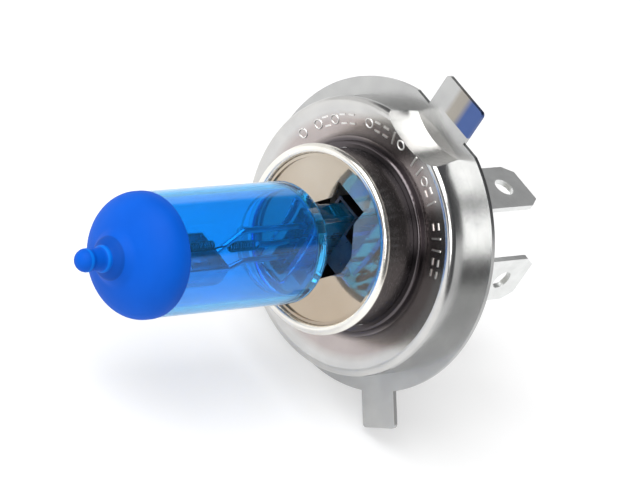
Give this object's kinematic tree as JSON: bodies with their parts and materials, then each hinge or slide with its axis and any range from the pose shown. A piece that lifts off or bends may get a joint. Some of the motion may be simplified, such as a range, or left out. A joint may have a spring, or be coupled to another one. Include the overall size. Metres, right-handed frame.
{
  "type": "headlight bulb",
  "caption": "Halogen headlight bulb with two filaments in a blue glass tube with a painted tip, a round three-lug prefocus ring and three flat terminal blades",
  "frame": {"origin": "On the bulb's axis, in the reference plane: the front face of the prefocus ring's flange", "axes": "The bulb's axis lies along Y: the glass tip points to -Y and the terminals to +Y. The wide locating lug points to +Z"},
  "size_m": [0.043, 0.0818, 0.0473],
  "materials": {
    "blue_quartz": "clear, tinted by an interference coating",
    "blue_tip_paint": "opaque satin baked paint",
    "tungsten": "drawn wire, wound",
    "molybdenum": "drawn and pressed, dull",
    "nickel_wire": "drawn",
    "polished_plate": "mirror polished",
    "spring_steel": "dark, as rolled",
    "nickel_plated_steel": "bright plated",
    "satin_nickel_steel": "bright pressed, faintly brushed",
    "ceramic_white_plastic": "moulded, matt",
    "tinned_brass": "satin tin plate"
  },
  "bodies": {
    "root": {"glass_envelope": "blue_quartz", "tip_coating": "blue_tip_paint", "low_beam_filament": "tungsten", "high_beam_filament": "tungsten", "low_beam_shield": "molybdenum", "low_support_wire": "molybdenum", "common_support_wire": "molybdenum", "high_support_wire": "molybdenum", "low_seal_foil": "molybdenum", "common_seal_foil": "molybdenum", "high_seal_foil": "molybdenum", "low_outer_lead": "nickel_wire", "common_outer_lead": "nickel_wire", "high_outer_lead": "nickel_wire", "front_plate": "polished_plate", "pinch_clip": "spring_steel", "base_barrel": "nickel_plated_steel", "prefocus_ring": "satin_nickel_steel", "terminal_insulator": "ceramic_white_plastic", "top_blade": "tinned_brass", "left_blade": "tinned_brass", "right_blade": "tinned_brass"}
  },
  "joints": []
}
